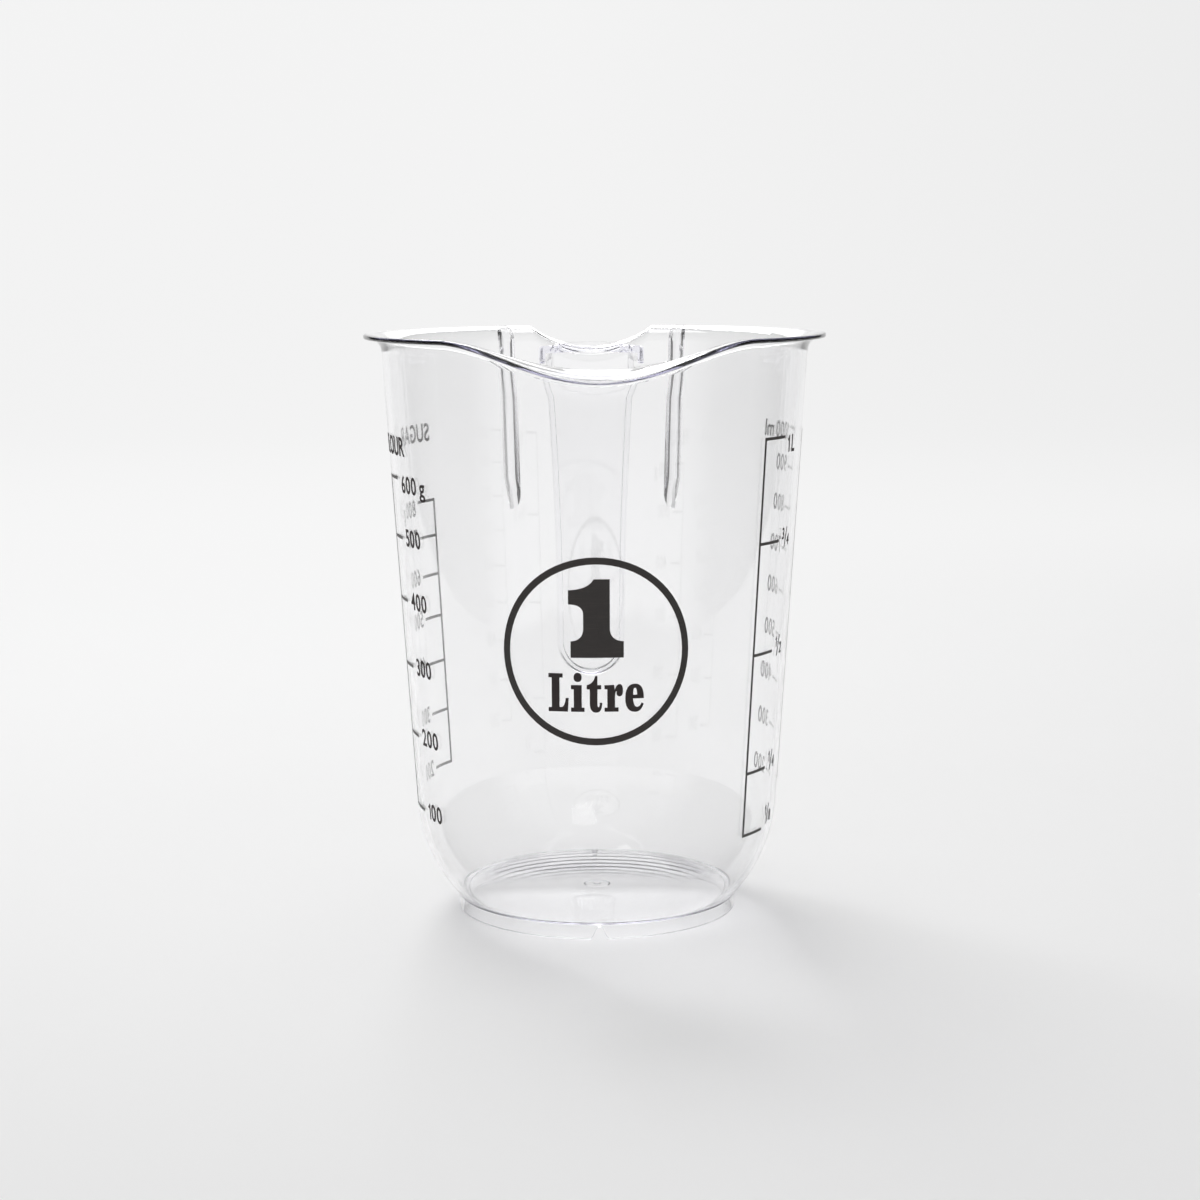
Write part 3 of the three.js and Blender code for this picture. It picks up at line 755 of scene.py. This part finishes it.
def floor_material(studio):
    """Plain matt floor and backdrop, lifted towards white where it is seen.

    High up, the backdrop is painted dimmer through the plastic, a painted shade, and painted to glow in reflections, a
    painted light that is no lamp. Towards the right it is painted darker, a painted falloff of light.
    """
    made, tree, shader = new_material("studio_paper")
    fill(tree, shader, {"Base Color": (*studio.floor, 1), "Roughness": 0.9, "Specular IOR Level": 0.1})
    path = node(tree, "ShaderNodeLightPath", (-600, 500)).outputs
    seen = calculated(tree, "MAXIMUM", (-350, 550), path["Is Camera Ray"], path["Is Glossy Ray"])
    through = calculated(tree, "MAXIMUM", (-150, 500), seen, path["Is Transmission Ray"])
    place = node(tree, "ShaderNodeTexCoord", (-600, 800)).outputs["Object"]
    split = node(tree, "ShaderNodeSeparateXYZ", (-400, 800), {"Vector": place}).outputs
    lifts = (studio.lift_start, studio.lift_end, studio.lift_near, studio.lift_far)
    far = ramp(tree, (-200, 800), split["Y"], *lifts, interpolation_type="SMOOTHSTEP")
    lift = calculated(tree, "MULTIPLY", (50, 500), through, far)
    # Painted light: the backdrop glows high up, in reflections only.
    high = ramp(tree, (-400, 300), split["Z"], studio.glow_start, studio.glow_end, 0, studio.glow)
    # Painted shade: the backdrop is dimmer high up, seen through the plastic.
    dim = ramp(tree, (-400, -200), split["Z"], studio.gap_start, studio.gap_end, 0, -studio.gap)
    # Painted shade: the backdrop's white darkens towards the right.
    right = ramp(tree, (-400, 50), split["X"], 0, 1, 1, studio.fade)
    upper = calculated(tree, "MULTIPLY_ADD", (-200, 200), high, path["Is Glossy Ray"], right)
    strength = calculated(tree, "MULTIPLY_ADD", (-50, 200), dim, path["Is Transmission Ray"], upper)
    inputs = {"Color": (*studio.floor_white, 1), "Strength": strength}
    glow = node(tree, "ShaderNodeEmission", (50, 300), inputs)
    blend(tree, lift, shader.outputs["BSDF"], glow.outputs["Emission"])
    return made


# Printed figures and letters


FONT_CAP = 0.682  # capital height of Blender's own font, as a share of its size
LETTER_GAP = 0.09
WORD_GAP = 3 * LETTER_GAP
FRACTION_SIZE = 0.66  # a fraction's figures, as a share of the others
FRACTION_RISE = 0.3  # its upper figure over its lower one
FRACTION_GAP = 0.03
TICK_END = 0.9  # only the ticks reach past this share of a scale's width

# Drawn letters: width and outlines. An outline's point is a corner (x, y),
# or a curve's control and its end (x, y, x, y)
SLASH = (0.34, [[(0, -0.08), (0.08, -0.08), (0.34, 0.78), (0.26, 0.78)]])
FIGURE_ONE = (0.24, [[
    (0.13, 0), (0.24, 0), (0.24, FONT_CAP), (0.15, FONT_CAP), (0.13, 0.58, 0, 0.56), (0, 0.47), (0.13, 0.47),
]])
SLAB_LETTERS = {
    "L": (0.82, [[
        (0, 0), (0.78, 0), (0.82, 0.36), (0.70, 0.36), (0.66, 0.12, 0.52, 0.12), (0.45, 0.12),
        (0.45, 0.89), (0.58, 0.89), (0.58, 1), (0, 1), (0, 0.89), (0.13, 0.89), (0.13, 0.11), (0, 0.11),
    ]]),
    "i": (0.54, [
        [(0, 0), (0.54, 0), (0.54, 0.11), (0.43, 0.11), (0.43, 0.7), (0, 0.7),
         (0, 0.59), (0.11, 0.59), (0.11, 0.11), (0, 0.11)],
        [(0.27, 0.78), (0.43, 0.78, 0.43, 0.9), (0.43, 1.02, 0.27, 1.02),
         (0.11, 1.02, 0.11, 0.9), (0.11, 0.78, 0.27, 0.78)],
    ]),
    "t": (0.62, [[
        (0, 0.59), (0.12, 0.59), (0.12, 0.22), (0.12, -0.02, 0.38, -0.02), (0.62, -0.02, 0.62, 0.24), (0.52, 0.24),
        (0.52, 0.12, 0.47, 0.12), (0.43, 0.12, 0.43, 0.2), (0.43, 0.59), (0.58, 0.59), (0.58, 0.7), (0.43, 0.7),
        (0.43, 0.94), (0.34, 0.94), (0.28, 0.74, 0, 0.7),
    ]]),
    "r": (0.74, [[
        (0, 0), (0.56, 0), (0.56, 0.11), (0.42, 0.11), (0.42, 0.36), (0.42, 0.52, 0.48, 0.54), (0.46, 0.4, 0.6, 0.4),
        (0.74, 0.4, 0.74, 0.55), (0.74, 0.72, 0.6, 0.72), (0.48, 0.72, 0.41, 0.58), (0.39, 0.7), (0, 0.7), (0, 0.59),
        (0.11, 0.59), (0.11, 0.11), (0, 0.11),
    ]]),
    "e": (0.76, [
        [(0.76, 0.33), (0.32, 0.33), (0.34, 0.11, 0.48, 0.11), (0.6, 0.11, 0.66, 0.22), (0.75, 0.19),
         (0.66, -0.02, 0.4, -0.02), (0, -0.02, 0, 0.35), (0, 0.72, 0.4, 0.72), (0.76, 0.72, 0.76, 0.33)],
        [(0.32, 0.43), (0.48, 0.43), (0.48, 0.61, 0.4, 0.61), (0.32, 0.61, 0.32, 0.43)],
    ]),
}


def drawn_outline(points):
    """Corners of an outline, with its curves drawn out."""
    corners = []
    for point in points:
        if len(point) == 4:
            a, b, c = Vector(corners[-1]), Vector(point[:2]), Vector(point[2:])
            for i in range(1, LETTER_STEPS):
                t = i / LETTER_STEPS
                corners.append(tuple(a * (1 - t) ** 2 + b * 2 * t * (1 - t) + c * t**2))
        corners.append(point[-2:])
    return corners


def film(curve):
    """A flat curve or text as a closed film from 0 to 1 in z."""
    curve.extrude = 0.5
    holder = bpy.data.objects.new(curve.name, curve)
    bpy.context.scene.collection.objects.link(holder)
    mesh = take_mesh(holder)
    bpy.data.objects.remove(holder)
    bm = bmesh.new()
    bm.from_mesh(mesh)
    bpy.data.meshes.remove(mesh)
    bmesh.ops.remove_doubles(bm, verts=bm.verts, dist=LETTER_MERGE)
    bmesh.ops.translate(bm, verts=bm.verts, vec=(0, 0, 0.5))
    return bm


def drawn_film(drawing):
    """A letter from its own outlines, and its width."""
    width, outlines = drawing
    curve = bpy.data.curves.new("letter", "CURVE")
    curve.dimensions = "2D"
    curve.fill_mode = "BOTH"
    for outline in outlines:
        corners = drawn_outline(outline)
        line = curve.splines.new("POLY")
        line.points.add(len(corners) - 1)
        for place, corner in zip(line.points, corners):
            place.co = (*corner, 0, 1)
        line.use_cyclic_u = True
    return film(curve), width


def font_film(letter, weight):
    """A letter of Blender's own font, and its width. Its left edge is at x 0."""
    curve = bpy.data.curves.new("letter", "FONT")
    curve.body = letter
    curve.resolution_u = 4
    curve.offset = weight
    bm = film(curve)
    places = [vert.co.x for vert in bm.verts]
    bmesh.ops.translate(bm, verts=bm.verts, vec=(-min(places), 0, 0))
    return bm, max(places) - min(places)


def set_line(letters, gap):
    """Letters, each a film and its width, set in one film side by side. Returns it and its width."""
    line = bmesh.new()
    x = 0
    for bm, width in letters:
        bmesh.ops.translate(bm, verts=bm.verts, vec=(x, 0, 0))
        add_film(line, bm)
        x += width + gap
    return line, x - gap


def add_film(whole, bm):
    """Moves a film into another one."""
    mesh = bpy.data.meshes.new("film")
    bm.to_mesh(mesh)
    bm.free()
    whole.from_mesh(mesh)
    bpy.data.meshes.remove(mesh)


def figure(letter, weight):
    """One figure or letter of a scale, and its width."""
    if letter == "1":
        return drawn_film(FIGURE_ONE)
    return font_film(letter, weight)


def small_figure(letter, weight, rise):
    """One figure of a fraction, and its width."""
    bm, width = figure(letter, weight)
    bmesh.ops.scale(bm, verts=bm.verts, vec=(FRACTION_SIZE, FRACTION_SIZE, 1))
    bmesh.ops.translate(bm, verts=bm.verts, vec=(0, rise, 0))
    return bm, FRACTION_SIZE * width


def figures(words, weight):
    """Words of a scale in one film. A slash makes a fraction of small figures."""
    if "/" in words:
        over, under = words.split("/")
        parts = [small_figure(over, weight, FRACTION_RISE), drawn_film(SLASH), small_figure(under, weight, 0)]
        return set_line(parts, FRACTION_GAP)[0]
    parts = [set_line([figure(letter, weight) for letter in word], LETTER_GAP) for word in words.split()]
    return set_line(parts, WORD_GAP)[0]


def scale_marks(jug, scale):
    """Turn of a scale's line and the heights of its ticks, read from its solid."""
    places = [(math.atan2(vert.co.x, AXIS_Y - vert.co.y), vert.co.z) for vert in scale.data.vertices]
    line = min(turn for turn, z in places)
    runs = [((turn - line) * cone_radius(jug, z), z) for turn, z in places]
    end = max(run for run, z in runs)
    levels = sorted({round(z, 5) for run, z in runs if run > TICK_END * end})
    return line, [(low + high) / 2 for low, high in zip(levels[::2], levels[1::2])]


# Operators


class JUG_OT_mould_jug(bpy.types.Operator):
    """Mould the body, the rim, the ribs and the handle as one clear piece"""

    bl_idname = "jug.mould_jug"
    bl_label = "Mould Jug"

    def execute(self, context):
        jug = context.scene.jug_sizes
        handle = context.scene.handle_sizes
        moulding = new_object("clear_moulding", turned(jug, lambda spout: body_line(jug, spout)))
        hook = new_object("hook", handle_mesh(jug, handle))
        for side in (1, -1):
            combine(hook, new_object("rib", rib_mesh(jug, handle, side)), "UNION")
        combine(hook, new_object("core", turned(jug, lambda spout: core_line(jug))), "DIFFERENCE")
        combine(moulding, hook, "UNION")
        for side in (1, -1):
            combine(moulding, new_object("arch", arch_mesh(jug, side)), "DIFFERENCE")
        smooth(moulding)
        moulding.data.materials.clear()
        moulding.data.materials.append(plastic_material(context.scene.jug_finishes))
        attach(moulding, BODY)
        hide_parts("jug_moulding")
        return {"FINISHED"}


class JUG_OT_ink_marks(bpy.types.Operator):
    """Ink the badge and the scale lines as thin prints on the wall"""

    bl_idname = "jug.ink_marks"
    bl_label = "Ink Marks"

    def execute(self, context):
        jug = context.scene.jug_sizes
        prints = context.scene.print_sizes
        ink = ink_material(context.scene.jug_finishes, streak_group())
        for name, mark in frame["nodes"].items():
            if name == "jug_moulding":
                continue
            bm = bmesh.new()
            bm.from_mesh(mark.data)
            bmesh.ops.remove_doubles(bm, verts=bm.verts, dist=MERGE)
            bmesh.ops.translate(bm, verts=bm.verts, vec=(0, -AXIS_Y, 0))
            self.thin(jug, prints, bm)
            made = new_object(name.replace("scale", "lines").replace("badge", "printed"), bm)
            made.data.materials.append(ink)
            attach(made, BODY)
            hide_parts(name)
        return {"FINISHED"}

    def thin(self, jug, prints, bm):
        """Presses a film down to the thickness of a print."""
        heights = [math.hypot(vert.co.x, vert.co.y) - cone_radius(jug, vert.co.z) for vert in bm.verts]
        middle = (min(heights) + max(heights)) / 2
        for vert, height in zip(bm.verts, heights):
            out = prints.clearance + (prints.thickness if height > middle else 0)
            reach = (cone_radius(jug, vert.co.z) + out) / math.hypot(vert.co.x, vert.co.y)
            vert.co = (vert.co.x * reach, vert.co.y * reach, vert.co.z)


class JUG_OT_print_figures(bpy.types.Operator):
    """Print the figures and the heading of each scale"""

    bl_idname = "jug.print_figures"
    bl_label = "Print Figures"

    def execute(self, context):
        jug = context.scene.jug_sizes
        prints = context.scene.print_sizes
        for name, (heading, heading_start, start, labels) in SCALES.items():
            turn, levels = scale_marks(jug, frame["nodes"][name])
            if len(levels) != len(labels):
                raise RuntimeError(f"{name} has {len(levels)} ticks, not {len(labels)}")
            whole = bmesh.new()
            for (label, rise), level in zip(labels, levels):
                foot = level + rise * MM - prints.figure_height / 2
                self.add(jug, prints, whole, label, prints.figure_height, start * MM, turn, foot)
            if heading:
                foot = prints.heading_level
                self.add(jug, prints, whole, heading, prints.heading_height, heading_start * MM, turn, foot)
            made = new_object(name.replace("scale", "figures"), whole)
            made.data.materials.append(bpy.data.materials["printed_ink"])
            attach(made, BODY)
        return {"FINISHED"}

    def add(self, jug, prints, whole, words, height, start, turn, foot):
        """Adds one label, sized and laid round the wall."""
        bm = figures(words, prints.weight)
        size = height / FONT_CAP
        bmesh.ops.scale(bm, verts=bm.verts, vec=(prints.condense * size, size, prints.thickness))
        bmesh.ops.translate(bm, verts=bm.verts, vec=(start, 0, 0))
        wrapped(jug, prints, bm, turn, foot)
        add_film(whole, bm)


class JUG_OT_print_word(bpy.types.Operator):
    """Print the unit word in the badge, in slab letters"""

    bl_idname = "jug.print_word"
    bl_label = "Print Word"

    def execute(self, context):
        jug = context.scene.jug_sizes
        prints = context.scene.print_sizes
        bm, width = set_line([drawn_film(SLAB_LETTERS[letter]) for letter in prints.word], LETTER_GAP)
        bmesh.ops.translate(bm, verts=bm.verts, vec=(-width / 2, 0, 0))
        stretch = prints.word_width / width
        bmesh.ops.scale(bm, verts=bm.verts, vec=(stretch, prints.word_height, prints.thickness))
        wrapped(jug, prints, bm, prints.badge_angle, prints.word_level)
        made = new_object("unit_word", bm)
        made.data.materials.append(bpy.data.materials["printed_ink"])
        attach(made, BODY)
        return {"FINISHED"}


class JUG_OT_set_stage(bpy.types.Operator):
    """Set the floor, the light and the camera"""

    bl_idname = "jug.set_stage"
    bl_label = "Set Stage"

    def execute(self, context):
        studio = context.scene.studio_settings
        self.paper(studio)
        self.lights()
        self.camera(context, studio)
        context.scene.view_settings.view_transform = "Standard"
        for limit in ("max_bounces", "transmission_bounces", "glossy_bounces", "transparent_max_bounces"):
            setattr(context.scene.cycles, limit, LIGHT_BOUNCES)
        return {"FINISHED"}

    def paper(self, studio):
        """Floor that curves up into the backdrop."""
        half_width = 1.3
        front = -2.5
        bend = 1.6
        bend_radius = 0.8
        top = 3.0
        curve = arc((bend, bend_radius), bend_radius, -math.pi / 2, 0, PAPER_STEPS)
        line = [(front, 0)] + curve + [(bend + bend_radius, top)]
        bm = bmesh.new()
        points = [bm.verts.new((-half_width, y, z)) for y, z in line]
        edges = [bm.edges.new(pair) for pair in zip(points, points[1:])]
        made = bmesh.ops.extrude_edge_only(bm, edges=edges)["geom"]
        moved = [item for item in made if isinstance(item, bmesh.types.BMVert)]
        bmesh.ops.translate(bm, verts=moved, vec=(2 * half_width, 0, 0))
        bmesh.ops.recalc_face_normals(bm, faces=bm.faces)
        paper = new_object("paper", bm)
        paper.data.shade_smooth()
        paper.data.materials.append(floor_material(studio))

    def lights(self):
        """A pale room and soft boxes."""
        world = bpy.data.worlds.new("room")
        bpy.context.scene.world = world
        world.use_nodes = True
        tree = world.node_tree
        place = node(tree, "ShaderNodeTexCoord", (-700, 0)).outputs["Generated"]
        split = node(tree, "ShaderNodeSeparateXYZ", (-500, 0), {"Vector": place}).outputs
        grade = ramp(tree, (-250, 0), split["Y"], *ROOM_FRONT, *ROOM_FRONT_LIGHT)
        level = ramp(tree, (-250, -300), split["Z"], *ROOM_RISE, *ROOM_RISE_SHARE)
        path = node(tree, "ShaderNodeLightPath", (-700, -300)).outputs
        clear = calculated(tree, "MAXIMUM", (-450, -500), path["Is Glossy Ray"], path["Is Transmission Ray"])
        mirrored = calculated(tree, "MULTIPLY", (-250, -600), clear, ROOM_MIRRORED_SHARE)
        shown = calculated(tree, "MAXIMUM", (-100, -400), level, mirrored)
        strength = calculated(tree, "MULTIPLY", (-50, -100), grade, shown)
        fill(tree, tree.nodes["Background"], {"Color": (1, 1, 1, 1), "Strength": strength})
        for name, place, size, power, target, spread, shows_through in SOFT_BOXES:
            light = bpy.data.lights.new(name, "AREA")
            light.shape = "RECTANGLE"
            light.size, light.size_y = size
            light.energy = power
            light.spread = math.radians(spread)
            lamp = bpy.data.objects.new(name, light)
            lamp.location = place
            aim = Vector(target) - Vector(place)
            lamp.rotation_euler = aim.to_track_quat("-Z", "Y").to_euler()
            lamp.visible_transmission = shows_through
            bpy.context.scene.collection.objects.link(lamp)

    def camera(self, context, studio):
        """Camera at the viewing angle of the photograph."""
        data = bpy.data.cameras.new("camera")
        data.lens = studio.lens
        data.sensor_width = 36
        camera = bpy.data.objects.new("camera", data)
        context.scene.collection.objects.link(camera)
        turn = studio.camera_turn
        camera.location = (
            studio.camera_distance * math.sin(turn),
            AXIS_Y - studio.camera_distance * math.cos(turn),
            studio.camera_height,
        )
        heading = Matrix.Rotation(turn + studio.camera_yaw, 3, "Z")
        pitch = Matrix.Rotation(math.pi / 2 - studio.camera_pitch, 3, "X")
        roll = Matrix.Rotation(studio.camera_roll, 3, "Z")
        camera.rotation_euler = (heading @ pitch @ roll).to_euler()
        context.scene.camera = camera


class JUG_PT_panel(bpy.types.Panel):
    """Steps of the jug"""

    bl_idname = "JUG_PT_panel"
    bl_label = "Measuring Jug"
    bl_space_type = "VIEW_3D"
    bl_region_type = "UI"
    bl_category = "Jug"

    def draw(self, context):
        for step in STEPS:
            self.layout.operator(step.bl_idname)


GROUPS = {
    "jug_sizes": JugSizes,
    "handle_sizes": HandleSizes,
    "print_sizes": PrintSizes,
    "jug_finishes": JugFinishes,
    "studio_settings": StudioSettings,
}
STEPS = (JUG_OT_mould_jug, JUG_OT_ink_marks, JUG_OT_print_figures, JUG_OT_print_word, JUG_OT_set_stage)


def amounts(low, high, unit):
    """Labels at each hundred, with their rise over their tick in millimetres. The top one has the unit, lower down."""
    return [(str(amount), 0.5) for amount in range(low, high, 100)] + [(f"{high} {unit}", -1.3)]


# Each scale's heading, where its heading and its labels start from its line in millimetres,
# and its labels from the lowest tick up, each with its rise over the tick in millimetres
SCALES = {
    "litre_scale": ("", 0, 12.8, [("1/8", 3.3), ("1/4", 1.3), ("1/2", 0.8), ("3/4", 0.4), ("1 L", -2)]),
    "millilitre_scale": ("", 0, 12.6, amounts(200, 1000, "ml")),
    "flour_scale": ("FLOUR", -2.5, 14, amounts(100, 600, "g")),
    "sugar_scale": ("SUGAR", 0.5, 12.6, amounts(200, 800, "g")),
}


def register():
    for kind in (*GROUPS.values(), *STEPS, JUG_PT_panel):
        bpy.utils.register_class(kind)
    for name, kind in GROUPS.items():
        setattr(bpy.types.Scene, name, PointerProperty(type=kind))


def unregister():
    for name in GROUPS:
        delattr(bpy.types.Scene, name)
    for kind in (JUG_PT_panel, *STEPS, *GROUPS.values()):
        bpy.utils.unregister_class(kind)


def main():
    register()
    bpy.ops.jug.mould_jug()
    bpy.ops.jug.ink_marks()
    bpy.ops.jug.print_figures()
    bpy.ops.jug.print_word()
    bpy.ops.jug.set_stage()


if __name__ == "__main__":
    main()
